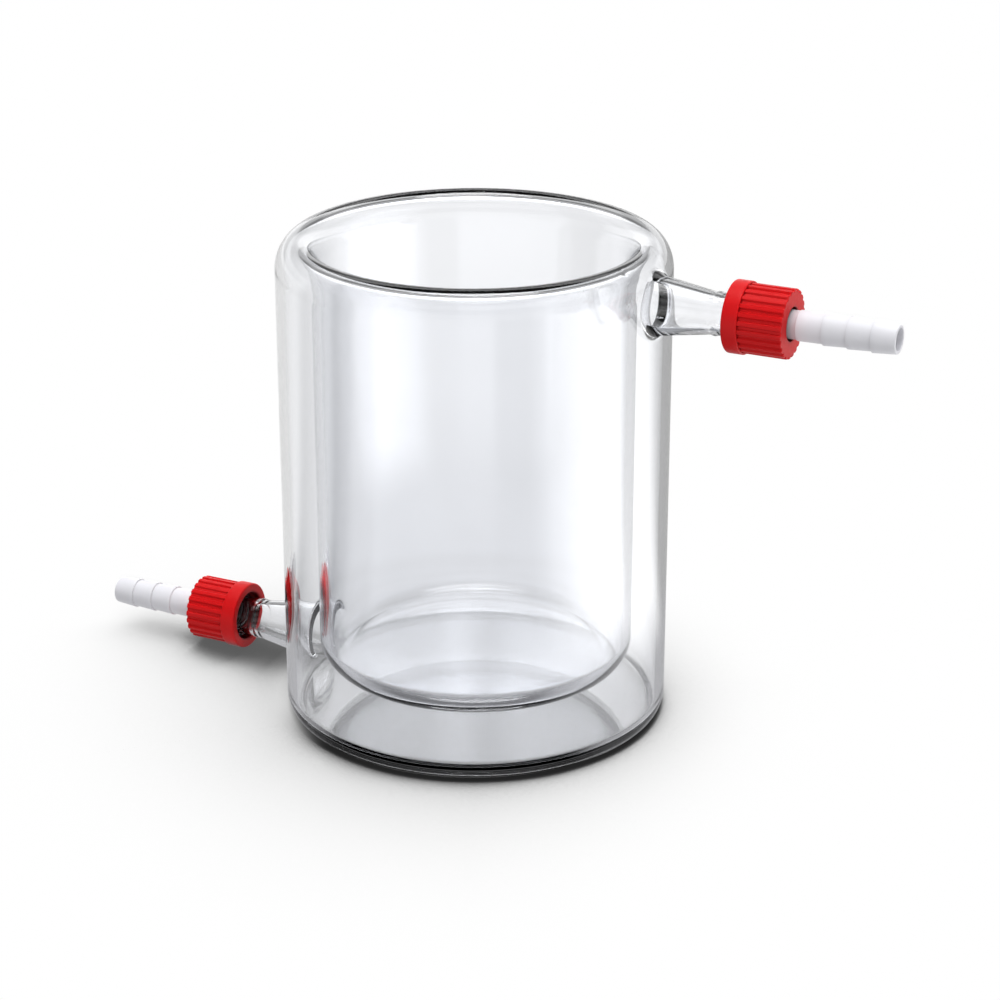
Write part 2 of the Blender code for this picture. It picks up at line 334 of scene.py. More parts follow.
def ridge(out, angle, start, turns, width):
    """How high a right-handed thread stands at each point, from 0 to 1, fading in at both ends."""
    fade_in = 0.1
    turn_here = angle / math.tau
    nearest = np.round((out - start) / THREAD_PITCH - turn_here)
    along = nearest + turn_here
    offset = out - start - along * THREAD_PITCH
    fade = (smooth_step((along + fade_in) / (2 * fade_in))
            * smooth_step((turns - along + fade_in) / (2 * fade_in)))
    return np.cos(np.clip(offset / width, -1, 1) * math.pi / 2) ** 2 * fade


def tube(shape, ring, angles, start_out, turn, height, stations):
    """Rings along the connector's axis. A station is (share, out, radius), where share blends
    from the ring that follows the wall to flat, evenly divided rings."""
    even = np.arange(len(angles)) * math.tau / len(angles)
    for share, out, radius in stations:
        angle = angles * (1 - share) + even * share
        outs = start_out + (out - start_out) * share if share < 1 else np.full_like(angle, out)
        size = radius(outs, angle) if callable(radius) else np.full_like(angle, radius)
        points = around(turn, outs, size * np.sin(angle), height + size * np.cos(angle))
        new_ring = shape.add(points)
        shape.join(ring, new_ring)
        ring = new_ring
    return ring


def cone_radius(root, root_out, tip, tip_out):
    return lambda out, angle: root + (tip - root) * (out - root_out) / (tip_out - root_out)


def bead(out):
    """How far the seam's bead stands out."""
    return BEAD_HEIGHT * np.exp(-((out - NECK_SEAM) / BEAD_WIDTH) ** 2)


def neck_radius(out, angle):
    """The neck's outside, with its seam's bead and its thread. Thread angles follow the cap's."""
    swell = (NECK_CORE - NECK_RADIUS) * smooth_step((out - (THREAD_START - THREAD_PITCH)) / THREAD_PITCH)
    turns, width = NECK_THREAD_TURNS, NECK_THREAD_WIDTH
    thread = NECK_THREAD * ridge(out, thread_angle(angle), THREAD_START, turns, width)
    return NECK_RADIUS + bead(out) + swell + thread


def thread_angle(angle):
    """Angles about the outward axis, right-handed, from straight down as in the part's frames."""
    return (math.pi - angle) % math.tau


def arm(shape, outer, inner, window, prefix):
    """One side arm: its outside and its bore, joined round the neck's end."""
    turn = PORTS[prefix]
    height = port_height(prefix)
    tip_out = NECK_SEAM - BEAD_WIDTH
    taper = (ARM_ROOT - NECK_RADIUS) / (tip_out - RADIUS - WELD_RISE)
    seam_end = NECK_SEAM + 3 * BEAD_WIDTH
    ring, angles, start = open_port(shape, outer, window, turn, height,
                                    ARM_ROOT, WELD_SPREAD, WELD_RISE, taper, WELD_RINGS)
    cone = cone_radius(ARM_ROOT, start, NECK_RADIUS, tip_out)

    def cone_and_bead(out, angle):
        return np.maximum(cone(out, angle), NECK_RADIUS) + bead(out)

    stations = [(t, tip_out, cone_and_bead) for t in line(0, 1, CONE_RINGS)[1:]]
    stations += [(1, out, neck_radius) for out in line(tip_out, seam_end, SEAM_RINGS)[1:]]
    stations += [(1, out, neck_radius) for out in line(seam_end, THREAD_FOOT, NECK_RINGS)[1:]]
    stations += [(1, out, neck_radius) for out in line(THREAD_FOOT, NECK_END - LIP, THREAD_RINGS)[1:]]
    outer_lip = arc(NECK_CORE - LIP, NECK_END - LIP, LIP, LIP, 0, 90, LIP_RINGS)
    stations += [(1, out, radius) for radius, out in outer_lip[1:]]
    outside = tube(shape, ring, angles, start, turn, height, stations)

    bore_taper = (BORE_ROOT - NECK_BORE) / (tip_out - RADIUS - BORE_RISE)
    ring, angles, start = open_port(shape, inner, window, turn, height,
                                    BORE_ROOT, BORE_SPREAD, BORE_RISE, bore_taper, BORE_WELD_RINGS)
    bore_cone = cone_radius(BORE_ROOT, start, NECK_BORE, tip_out)
    stations = [(t, tip_out, bore_cone) for t in line(0, 1, CONE_RINGS)[1:]]
    stations += [(1, out, NECK_BORE) for out in line(tip_out, NECK_END - LIP, BORE_RINGS)[1:]]
    inner_lip = arc(NECK_BORE + LIP, NECK_END - LIP, LIP, LIP, 180, 90, LIP_RINGS)
    stations += [(1, out, radius) for radius, out in inner_lip[1:]]
    inside = tube(shape, ring, angles, start, turn, height, stations)
    shape.join(outside, inside)


def wall_grid(shape, rows, windows):
    """A turned wall of (r, z) rows, closed at both ends on the axis, less the windows' faces.
    Gives back the grid, the outline, and the distance along it by height, from the base to the top."""
    angles = np.arange(COLUMNS) * math.tau / COLUMNS
    grid = np.zeros((len(rows), COLUMNS), int)
    for i, (radius, up) in enumerate(rows):
        points = np.stack([radius * np.cos(angles), radius * np.sin(angles), np.full(COLUMNS, up)], 1)
        grid[i] = shape.add(points)
    columns = np.arange(COLUMNS)
    for i in range(len(rows) - 1):
        keep = np.ones(COLUMNS, bool)
        for (bottom, top), turn in windows:
            if bottom <= i < top:
                centre = round(turn / math.tau * COLUMNS)
                first = centre - WINDOW_COLUMNS // 2
                keep[np.arange(first, first + WINDOW_COLUMNS) % COLUMNS] = False
        after = np.roll(columns, -1)
        quads = np.stack([grid[i, columns], grid[i, after], grid[i + 1, after], grid[i + 1, columns]], 1)
        shape.faces += quads[keep].tolist()
    shape.fan(grid[0], (0, 0, rows[0][1]))
    shape.fan(grid[-1], (0, 0, rows[-1][1]))
    outline = Outline(rows)
    heights = outline.rows[:, 1]
    flat_end = int(np.flatnonzero(heights > heights[0] + HAIR)[0]) - 1
    top = int(np.argmax(heights)) + 1
    height_map = (outline.along[flat_end:top], heights[flat_end:top])
    return grid, outline, height_map


def glass_body(material):
    """The whole fused vessel as one closed mesh: its skin outside and the water space inside."""
    shape = Shape()
    window_low = 24.7 * MM              # the lower arm's patch ends here
    window_high = 114.5 * MM            # and the upper arm's begins here
    first = 2.0 * MM                    # the first ring round the axis
    base_edge = RADIUS - BASE_CORNER
    window_edge = base_edge - 4.4 * MM
    inner_radius = RADIUS - 2 * RIM_HALF_WIDTH
    outer_rows = chain(
        line((first, 0), (window_edge, 0), FLAT_ROWS),
        line((window_edge, 0), (base_edge, 0), EDGE_ROWS),
        arc(base_edge, BASE_CORNER, BASE_CORNER, BASE_CORNER, -90, 0, CORNER_ROWS),
        line((RADIUS, BASE_CORNER), (RADIUS, window_low), LOW_ROWS),
        line((RADIUS, window_low), (RADIUS, window_high), MIDDLE_ROWS),
        line((RADIUS, window_high), (RADIUS, SPRING_LINE), HIGH_ROWS),
        arc(RIM_CENTRE, SPRING_LINE, RIM_HALF_WIDTH, RIM_HEIGHT, 0, 90, RIM_ROWS),
        arc(RIM_CENTRE, SPRING_LINE, RIM_HALF_WIDTH, RIM_HEIGHT, 90, 180, RIM_ROWS),
        line((inner_radius, SPRING_LINE), (inner_radius, CUP_FLOOR + CUP_INNER_CORNER), CUP_ROWS),
        arc(inner_radius - CUP_INNER_CORNER, CUP_FLOOR + CUP_INNER_CORNER, CUP_INNER_CORNER, CUP_INNER_CORNER,
            0, -90, CUP_CORNER_ROWS),
        line((inner_radius - CUP_INNER_CORNER, CUP_FLOOR), (first, CUP_FLOOR), FLAT_ROWS))
    space_radius = RADIUS - WALL
    space_edge = space_radius - BASE_INNER_CORNER
    space_window_edge = window_edge - 2.0 * MM
    space_corner_top = BASE_THICKNESS + BASE_INNER_CORNER
    cup_radius = inner_radius + WALL
    inner_rows = chain(
        line((first, BASE_THICKNESS), (space_window_edge, BASE_THICKNESS), FLAT_ROWS),
        line((space_window_edge, BASE_THICKNESS), (space_edge, BASE_THICKNESS), EDGE_ROWS),
        arc(space_edge, space_corner_top, BASE_INNER_CORNER, BASE_INNER_CORNER, -90, 0, CORNER_ROWS),
        line((space_radius, space_corner_top), (space_radius, window_low), LOW_ROWS),
        line((space_radius, window_low), (space_radius, window_high), MIDDLE_ROWS),
        line((space_radius, window_high), (space_radius, SPRING_LINE), HIGH_ROWS),
        arc(RIM_CENTRE, SPRING_LINE, RIM_HALF_WIDTH - WALL, RIM_HEIGHT - WALL, 0, 90, RIM_ROWS),
        arc(RIM_CENTRE, SPRING_LINE, RIM_HALF_WIDTH - WALL, RIM_HEIGHT - WALL, 90, 180, RIM_ROWS),
        line((cup_radius, SPRING_LINE), (cup_radius, CUP_UNDERSIDE + CUP_CORNER), CUP_ROWS),
        arc(cup_radius - CUP_CORNER, CUP_UNDERSIDE + CUP_CORNER, CUP_CORNER, CUP_CORNER, 0, -90,
            CUP_CORNER_ROWS),
        line((cup_radius - CUP_CORNER, CUP_UNDERSIDE), (first, CUP_UNDERSIDE), FLAT_ROWS))
    low_window = (FLAT_ROWS, FLAT_ROWS + EDGE_ROWS + CORNER_ROWS + LOW_ROWS)
    high_window = (low_window[1] + MIDDLE_ROWS, low_window[1] + MIDDLE_ROWS + HIGH_ROWS + RIM_ROWS)
    windows = [(high_window, PORTS["upper"]), (low_window, PORTS["lower"])]
    outer = wall_grid(shape, outer_rows, windows)
    inner = wall_grid(shape, inner_rows, windows)
    arm(shape, outer, inner, high_window, "upper")
    arm(shape, outer, inner, low_window, "lower")
    return shape.build("glass_body", material)


# ---------------------------------------------------------------- connectors

def turned_piece(name, prefix, rows, columns, material, relief=None, sharp_angle=None):
    """A closed section of (radius, out) rows turned about the connector's axis.
    relief changes the radius at each out and angle."""
    shape = Shape()
    turn = PORTS[prefix]
    height = port_height(prefix)
    angle = np.arange(columns) * math.tau / columns
    rings = []
    for i, (radius, out) in enumerate(rows):
        size = np.full(columns, radius)
        if relief:
            size = relief(i, size, out, angle)
        points = around(turn, np.full(columns, out), size * np.sin(angle), height + size * np.cos(angle))
        rings.append(shape.add(points))
    for a, b in zip(rings, rings[1:] + rings[:1]):
        shape.join(a, b)
    return shape.build(name, material, sharp_angle)


def rib_height(angle):
    """1 on a rib's flat top and 0 in the groove, with sloping flanks."""
    foot = 0.36
    flank = 0.16
    share = (angle * RIBS / math.tau) % 1.0
    return smooth_step((foot - np.abs(share - 0.5)) / flank)


def cap(prefix, material):
    edge = 0.45 * MM
    bevel = 0.3 * MM
    chamfer = 0.35 * MM
    face_step = 0.15 * MM
    fading = 0.6                        # how far the grooves run on into the face's first row
    top = CAP_FACE - CAP_TOP
    outside = chain(
        line((CAP_BORE + chamfer, CAP_MOUTH), (SKIRT_RADIUS - edge, CAP_MOUTH), 4),
        arc(SKIRT_RADIUS - edge, CAP_MOUTH + edge, edge, edge, -90, 0, 5),
        line((SKIRT_RADIUS, CAP_MOUTH + edge), (SKIRT_RADIUS, SKIRT_END - bevel), 4),
        arc(SKIRT_RADIUS - bevel, SKIRT_END - bevel, bevel, bevel, 0, 90, 4))
    ribbed = chain(
        line((RIB_RADIUS, SKIRT_END), (RIB_RADIUS, CAP_FACE - bevel), 12),
        arc(RIB_RADIUS - bevel, CAP_FACE - bevel, bevel, bevel, 0, 90, 4))
    face = chain(
        line((RIB_RADIUS - bevel - face_step, CAP_FACE), (CAP_HOLE + bevel, CAP_FACE), 6),
        arc(CAP_HOLE + bevel, CAP_FACE - bevel, bevel, bevel, 90, 180, 4),
        line((CAP_HOLE, CAP_FACE - bevel), (CAP_HOLE, top), 2),
        line((CAP_HOLE, top), (CAP_BORE, top), 3),
        line((CAP_BORE, top), (CAP_BORE, CAP_MOUTH + chamfer), BORE_ROWS))
    rows = np.concatenate([outside, ribbed, face])
    ribbed_rows = range(len(outside), len(outside) + len(ribbed))
    first_bore_row = len(rows) - BORE_ROWS

    def relief(i, size, out, angle):
        if i in ribbed_rows:
            return size - RIB_DEPTH * (1 - rib_height(angle))
        if i == ribbed_rows[-1] + 1:
            return size - fading * RIB_DEPTH * (1 - rib_height(angle))
        if i >= first_bore_row:
            place = thread_angle(angle) - math.pi
            return size - CAP_THREAD * ridge(out, place, THREAD_START, CAP_THREAD_TURNS, CAP_THREAD_WIDTH)
        return size

    columns = RIBS * CAP_COLUMNS_PER_RIB
    return turned_piece(f"{prefix}_screw_cap", prefix, rows, columns, material, relief, sharp_angle=50)


def nozzle(prefix, material):
    soft = 0.08 * MM
    tip_round = 0.35 * MM
    lip = 0.12 * MM
    rows = [
        arc(NOZZLE_BORE + lip, TIP - lip, lip, lip, 180, 90, 3),
        arc(TIP_RADIUS - tip_round, TIP - tip_round, tip_round, tip_round, 90, 8, 5)]
    start_radius = TIP_RADIUS
    start = TIP - tip_round
    for barb in range(1, BARBS + 1):
        shoulder = TIP - barb * BARB_LENGTH
        rows.append(line((start_radius, start), (BARB_SHOULDER, shoulder + soft), 5)[1:])
        rows.append(arc(BARB_SHOULDER - soft, shoulder + soft, soft, soft, 0, -90, 3)[1:])
        rows.append(arc(BARB_ROOT + soft, shoulder - soft, soft, soft, 90, 180, 3))
        start_radius = BARB_ROOT
        start = shoulder - soft
    collar = 0.4 * MM
    rows.append(line((BARB_ROOT, start), (BARREL_RADIUS, BARREL_START + collar), 5)[1:])
    rows.append(arc(BARREL_RADIUS - collar, BARREL_START + collar, collar, collar, 0, -55, 5)[1:])
    rows.append(np.array([(STEM_RADIUS, BARREL_START - 0.05 * MM), (STEM_RADIUS, FLANGE_HIGH + soft)]))
    rows.append(arc(FLANGE_RADIUS - soft, FLANGE_HIGH - soft, soft, soft, 90, 0, 3))
    rows.append(arc(FLANGE_RADIUS - soft, FLANGE_LOW + soft, soft, soft, 0, -90, 3))
    rows.append(arc(NOZZLE_BORE + lip, FLANGE_LOW + lip, lip, lip, 270, 180, 3))
    rows.append(line((NOZZLE_BORE, FLANGE_LOW + lip), (NOZZLE_BORE, TIP - lip), 8)[1:-1])
    rows = np.concatenate(rows)
    return turned_piece(f"{prefix}_hose_nozzle", prefix, rows, NOZZLE_COLUMNS, material, sharp_angle=45)


def gasket(prefix, material):
    low, high = GASKET_LOW[0], GASKET_HIGH[0]
    radius = (GASKET_HIGH[2] - GASKET_LOW[2]) / 2
    soft = 0.3 * MM
    rows = np.concatenate([
        arc(GASKET_BORE + soft, high - soft, soft, soft, 180, 90, 4),
        arc(radius - soft, high - soft, soft, soft, 90, 0, 4),
        arc(radius - soft, low + soft, soft, soft, 0, -90, 4),
        arc(GASKET_BORE + soft, low + soft, soft, soft, 270, 180, 4)])
    return turned_piece(f"{prefix}_seal_ring", prefix, rows, GASKET_COLUMNS, material)


# ---------------------------------------------------------------- shader nodes

def ramp(tree, source, stops, interpolation="EASE"):
    """A grey scale over 0 to 1, as (place, level) stops."""
    node = tree.nodes.new("ShaderNodeValToRGB")
    node.color_ramp.interpolation = interpolation
    elements = node.color_ramp.elements
    while len(elements) < len(stops):
        elements.new(0.5)
    for element, (place, level) in zip(elements, stops):
        element.position = place
        element.color = (level, level, level, 1.0)
    tree.links.new(source, node.inputs["Fac"])
    return node.outputs["Color"]


def compute(tree, operation, *values):
    node = tree.nodes.new("ShaderNodeMath")
    node.operation = operation
    for socket, value in zip(node.inputs, values):
        if isinstance(value, (int, float)):
            socket.default_value = value
        else:
            tree.links.new(value, socket)
    return node.outputs["Value"]


def blend(tree, factor, first, second, kind="MIX"):
    node = tree.nodes.new("ShaderNodeMix")
    node.data_type = "RGBA"
    node.blend_type = kind
    for name, value in (("Factor", factor), ("A", first), ("B", second)):
        if isinstance(value, (float, tuple)):
            node.inputs[name].default_value = value
        else:
            tree.links.new(value, node.inputs[name])
    return node.outputs["Result"]


# ---------------------------------------------------------------- materials

GLASS_TINT = (0.970, 0.975, 0.987)
GLASS_IOR = 1.47
REDS = ((0.66, 0.005, 0.007), (0.72, 0.007, 0.009))
WHITES = ((0.79, 0.785, 0.825), (0.83, 0.825, 0.86))
SILICONE = (0.78, 0.76, 0.72)
# Painted shade: the share of a plastic's colour left by how open the place is, from a closed corner to a free
# face
RED_SHADE = [(0.0, 0.08), (0.35, 0.36), (0.65, 0.88), (0.8, 1.0), (1.0, 1.0)]
WHITE_SHADE = [(0.0, 0.5), (0.5, 0.78), (0.8, 0.93), (0.95, 1.0), (1.0, 1.0)]


def new_material(name, colour, roughness):
    material = bpy.data.materials.new(name)
    material.use_nodes = True
    nodes = material.node_tree.nodes
    shader = nodes["Principled BSDF"]
    shader.inputs["Base Color"].default_value = (*colour, 1.0)
    shader.inputs["Roughness"].default_value = roughness
    return material, shader


def noise(material, scale, detail=3.0):
    tree = material.node_tree
    place = tree.nodes.new("ShaderNodeTexCoord")
    texture = tree.nodes.new("ShaderNodeTexNoise")
    texture.inputs["Scale"].default_value = scale
    texture.inputs["Detail"].default_value = detail
    tree.links.new(place.outputs["Object"], texture.inputs["Vector"])
    return texture.outputs["Fac"]


def spread(material, source, low, high):
    """Maps a noise, which lies mostly between 0.3 and 0.7, between two numbers."""
    tree = material.node_tree
    node = tree.nodes.new("ShaderNodeMapRange")
    node.inputs["From Min"].default_value = 0.3
    node.inputs["From Max"].default_value = 0.7
    node.inputs["To Min"].default_value = low
    node.inputs["To Max"].default_value = high
    tree.links.new(source, node.inputs["Value"])
    return node.outputs["Result"]


def add_bump(material, shader, source, strength, distance):
    tree = material.node_tree
    bump = tree.nodes.new("ShaderNodeBump")
    bump.inputs["Strength"].default_value = strength
    bump.inputs["Distance"].default_value = distance
    tree.links.new(source, bump.inputs["Height"])
    tree.links.new(bump.outputs["Normal"], shader.inputs["Normal"])


def with_painted_shade(material, colour, reach, stops):
    """The colour with painted shade: darker in grooves and corners within the given reach, as ambient
    occlusion finds them.
    """
    tree = material.node_tree
    near = tree.nodes.new("ShaderNodeAmbientOcclusion")
    near.samples = 8
    near.inputs["Distance"].default_value = reach
    return blend(tree, 1.0, colour, ramp(tree, near.outputs["AO"], stops, "LINEAR"), "MULTIPLY")


def glass_material():
    """Clear glass, drawn by hand, so that its faces wave by a few hundredths of a millimetre."""
    material, shader = new_material("clear_borosilicate", GLASS_TINT, 0.0)
    shader.inputs["Transmission Weight"].default_value = 1.0
    shader.inputs["IOR"].default_value = GLASS_IOR
    roughness = spread(material, noise(material, scale=40), low=0.0, high=0.004)
    material.node_tree.links.new(roughness, shader.inputs["Roughness"])
    add_bump(material, shader, noise(material, scale=22, detail=1.0), strength=0.12, distance=0.4 * MM)
    return material


def plastic(name, colours, colour_grain, rough_grain, shade, shade_reach):
    """A moulded plastic of two near colours, with painted shade in its grooves and corners, and a slightly
    uneven gloss.
    """
    material, shader = new_material(name, colours[0], 0.4)
    tree = material.node_tree
    first, second = ((*colour, 1.0) for colour in colours)
    colour = blend(tree, noise(material, colour_grain), first, second)
    tree.links.new(with_painted_shade(material, colour, shade_reach, shade), shader.inputs["Base Color"])
    roughness = spread(material, noise(material, rough_grain), low=0.36, high=0.46)
    tree.links.new(roughness, shader.inputs["Roughness"])
    return material, shader


def red_material():
    material, shader = plastic("red_moulded_plastic", REDS, 300, 900, RED_SHADE, 8 * MM)
    shader.inputs["Specular IOR Level"].default_value = 0.12
    add_bump(material, shader, noise(material, scale=2500), strength=0.12, distance=0.05 * MM)
    return material


def white_material():
    material, shader = plastic("white_moulded_plastic", WHITES, 200, 700, WHITE_SHADE, 3 * MM)
    add_bump(material, shader, noise(material, scale=2500), strength=0.08, distance=0.04 * MM)
    return material


def silicone_material():
    material, shader = new_material("silicone_seal", SILICONE, 0.6)
    roughness = spread(material, noise(material, scale=600), low=0.52, high=0.68)
    material.node_tree.links.new(roughness, shader.inputs["Roughness"])
    add_bump(material, shader, noise(material, scale=1800), strength=0.15, distance=0.05 * MM)
    return material


# ---------------------------------------------------------------- studio

# The photograph's view
VIEW_TURN = math.radians(25.71)     # how far it is turned from looking along +Y
VIEW_TILT = math.radians(21.88)     # how far it looks down
VIEW_PLACE = (0.32094, -0.65022, 0.35298)
VIEW_LENS = 98.6                    # in mm, for a sensor of 36 mm
VIEW_SENSOR = 36.0

FLOOR_SIZE = 20.0
FLOOR_DROP = 0.02 * MM              # keeps the sheet's face and the base's apart
SUN_ENERGY = 0.6
SUN_ANGLE = math.radians(50)
SUN_FROM = Vector((-0.1, -0.1, 1.0))


def directions(tree, vector):
    """The forward and rightward parts of a vector, as the photograph's viewer sees them, and its height."""
    split = tree.nodes.new("ShaderNodeSeparateXYZ")
    tree.links.new(vector, split.inputs["Vector"])
    x, y, z = split.outputs
    forward = compute(tree, "ADD", compute(tree, "MULTIPLY", x, -math.sin(VIEW_TURN)),
                      compute(tree, "MULTIPLY", y, math.cos(VIEW_TURN)))
    right = compute(tree, "ADD", compute(tree, "MULTIPLY", x, math.cos(VIEW_TURN)),
                    compute(tree, "MULTIPLY", y, math.sin(VIEW_TURN)))
    return forward, right, z


def turn_share(tree, forward, right):
    """0 and 1 towards the photograph's viewer, 0.25 to the left, 0.5 behind the object, 0.75 to the right."""
    turn = compute(tree, "DIVIDE", compute(tree, "ARCTAN2", right, forward), math.tau)
    return compute(tree, "ADD", turn, 0.5)


# Painted shadow on the white sheet, by how open it is to the room: black where the base nearly touches it,
# white far away, and painted as lit through the glass where the base covers it.
SHEET_REACH = 0.25
SHEET = [(0.0, 0.26), (0.02, 0.26), (0.08, 0.015), (0.42, 0.02), (0.53, 0.08), (0.575, 0.3), (0.61, 0.62),
         (0.645, 0.72), (0.705, 0.81), (0.755, 0.88), (0.82, 0.95), (0.88, 1.0)]
SHEET_ASIDE = [(0.0, 0.26), (0.02, 0.26), (0.08, 0.12), (0.3, 0.25), (0.42, 0.45), (0.53, 0.655),
               (0.605, 0.73), (0.647, 0.773), (0.686, 0.81), (0.74, 0.852), (0.82, 0.95), (0.88, 1.0)]
ASIDE = [(0.0, 0.0), (0.14, 0.0), (0.24, 1.0), (0.64, 1.0), (0.72, 0.0), (1.0, 0.0)]    # left and behind
SHEET_UNDER_ARM = [(0.0, 0.1), (0.33, 0.11), (0.45, 0.2), (0.52, 0.4), (0.58, 0.6), (0.61, 0.7),
                   (0.645, 0.76), (0.705, 0.83), (0.755, 0.88), (0.82, 0.95), (0.88, 1.0)]
ARM_WAY = [(0.0, 0.0), (0.18, 0.0), (0.24, 1.0), (0.35, 1.0), (0.39, 0.0), (1.0, 0.0)]
BASE_TO_ARM = [(0.0, 0.0), (0.058, 0.0), (0.066, 1.0), (1.0, 1.0)]      # by distance from the axis
LIGHTER_SIDE = 0.11                 # how much more open the sheet counts on the right, which paints its shadow lighter there
LIGHTER_WITHIN = 0.08
TOUCHING = 0.02                     # openness below which the base covers the sheet

# Painted reflection: what the glass mirrors below the horizon, by direction and by distance, as the sheet's
# glow for light that the glass reflected
JACKET_CROSSINGS = 2.5              # light that crossed more faces than this went inside the jacket
CUP_CROSSINGS = 3.5                 # and inside the cup
AROUND_LOW = [(0.0, 1.2), (0.1, 1.15), (0.15, 1.0), (0.188, 0.9), (0.2, 0.05), (0.3, 0.03), (0.33, 1.0),
              (0.46, 1.05), (0.5, 0.8), (0.56, 0.6), (0.65, 0.6), (0.7, 1.9), (0.76, 3.0), (0.85, 2.3),
              (0.88, 1.3), (0.9, 0.6), (0.955, 0.6), (0.975, 1.2), (1.0, 1.2)]
IN_FRONT = [(0.0, 1.0), (0.12, 1.0), (0.19, 0.4), (0.22, 0.0), (0.8, 0.0), (0.86, 0.3), (0.92, 1.0),
            (1.0, 1.0)]
NEAR_AND_FAR = [(0.0, 0.0), (0.21, 0.0), (0.26, 0.25), (0.32, 0.7), (0.38, 1.0)]      # over 1 m
OUT_FROM_BASE = [(0.0, 0.0), (0.075, 0.0), (0.14, 1.0), (1.0, 1.0)]
AROUND_BASE = (0.6, 0.6, 0.62, 1.0)
NEAR_INSIDE = 0.4                   # the least that the pieces behind the jacket mirror of what is near
SHEET_AFTER_MANY = (0.5, 0.505, 0.52, 1.0)      # the sheet's painted reflection after several reflections
AFTER_MANY = 0.85                   # what is left of any light after several reflections
ALONG_AN_EDGE = 0.06                # and where they all were inside one wall
ROOM_IN_A_WALL = 0.3                # what is left of the room's light after one reflection in a wall
SHEET_IN_A_WALL = 0.85              # and of the sheet's

# Light from the room above the horizon, by direction and by height from straight down to straight up
AROUND_HIGH = [(0.0, 1.2), (0.19, 0.7), (0.205, 0.15), (0.295, 0.15), (0.32, 1.1), (0.42, 1.6), (0.58, 1.6),
               (0.72, 1.0), (0.85, 0.9), (1.0, 1.2)]
UP_AND_DOWN = [(0.0, 0.6), (0.43, 0.6), (0.46, 1.0), (0.51, 1.0), (0.62, 1.0), (0.66, 0.35), (0.74, 0.35),
               (0.78, 1.1), (0.85, 1.1), (0.88, 0.08), (0.966, 0.08), (0.976, 5.0), (1.0, 5.0)]
# A lit wall all round, brightest behind, which only what stands inside the jacket mirrors
BEHIND = [(0.0, 1.3), (0.4, 1.3), (0.46, 1.7), (0.484, 2.5), (0.4935, 2.4), (0.4953, 3.1), (0.4963, 3.1),
          (0.4975, 2.4), (0.4983, 2.2), (0.5, 2.2), (0.5006, 2.9), (0.5017, 2.9), (0.5024, 2.3),
          (0.5034, 2.3), (0.504, 3.0), (0.506, 3.0), (0.515, 2.6), (0.54, 1.8), (0.6, 1.3), (1.0, 1.3)]
BEHIND_HEIGHT = [(0.0, 0.0), (0.6, 0.0), (0.65, 0.52), (0.708, 0.58), (0.722, 1.0), (0.745, 1.0), (0.78, 0.0),
                 (1.0, 0.0)]
LIGHT_TINT = (0.985, 0.99, 1.0, 1.0)
WHITE = (1.0, 1.0, 1.0, 1.0)
BLACK = (0.0, 0.0, 0.0)


def after_reflections(tree, in_a_wall):
    """The share of light that is left: in_a_wall after one reflection between the two faces of one wall,
    AFTER_MANY after several, ALONG_AN_EDGE where those were in one wall, and else all of it."""
    path = tree.nodes.new("ShaderNodeLightPath")
    bounces, crossings = path.outputs["Glossy Depth"], path.outputs["Transmission Depth"]
    one_wall = compute(tree, "COMPARE", crossings, 2.0, 0.5)
    once = compute(tree, "MULTIPLY", compute(tree, "COMPARE", bounces, 1.0, 0.5), one_wall)
    many = compute(tree, "GREATER_THAN", bounces, 1.5)
    edge = compute(tree, "LESS_THAN", crossings, JACKET_CROSSINGS)
    lost_more = compute(tree, "MULTIPLY", edge, AFTER_MANY - ALONG_AN_EDGE)
    lost_by_many = compute(tree, "MULTIPLY", many, compute(tree, "ADD", lost_more, 1.0 - AFTER_MANY))
    lost_by_one = compute(tree, "MULTIPLY", once, 1.0 - in_a_wall)
    return compute(tree, "SUBTRACT", 1.0, compute(tree, "ADD", lost_by_many, lost_by_one))


def went_inside(tree, crossings):
    """1 for light that crossed more faces of glass than the given number."""
    path = tree.nodes.new("ShaderNodeLightPath")
    return compute(tree, "GREATER_THAN", path.outputs["Transmission Depth"], crossings)


def distance_out(tree, forward, right):
    """How far a place is from the vessel's axis."""
    squares = [compute(tree, "MULTIPLY", value, value) for value in (forward, right)]
    return compute(tree, "SQRT", compute(tree, "ADD", *squares))


def sheet_painted_shadow(tree, turn, distance, right):
    """The sheet as it is seen directly, with a painted shadow: darker the closer the object stands over it.
    """
    near = tree.nodes.new("ShaderNodeAmbientOcclusion")
    near.samples = 24
    near.inputs["Distance"].default_value = SHEET_REACH
    side = compute(tree, "MULTIPLY", right, LIGHTER_SIDE / LIGHTER_WITHIN)
    side = compute(tree, "MINIMUM", compute(tree, "MAXIMUM", side, 0.0), LIGHTER_SIDE)
    open_to_room = compute(tree, "GREATER_THAN", near.outputs["AO"], TOUCHING)
    openness = compute(tree, "ADD", near.outputs["AO"], compute(tree, "MULTIPLY", side, open_to_room))
    colour = blend(tree, ramp(tree, turn, ASIDE), ramp(tree, openness, SHEET, "LINEAR"),
                   ramp(tree, openness, SHEET_ASIDE, "LINEAR"))
    under_arm = compute(tree, "MULTIPLY", ramp(tree, distance, BASE_TO_ARM), ramp(tree, turn, ARM_WAY))
    return blend(tree, under_arm, colour, ramp(tree, openness, SHEET_UNDER_ARM, "LINEAR"))


def sheet_painted_reflection(tree, turn, distance):
    """The sheet's painted reflection: how it glows for light that the glass mirrored, by the way and the
    distance out from the vessel.
    """
    nearness = blend(tree, ramp(tree, turn, IN_FRONT), WHITE, ramp(tree, distance, NEAR_AND_FAR))
    inside = compute(tree, "MULTIPLY", went_inside(tree, JACKET_CROSSINGS), NEAR_INSIDE)
    nearness = blend(tree, inside, nearness, WHITE)
    colour = blend(tree, ramp(tree, distance, OUT_FROM_BASE), AROUND_BASE, ramp(tree, turn, AROUND_LOW))
    return blend(tree, 1.0, colour, nearness, "MULTIPLY")


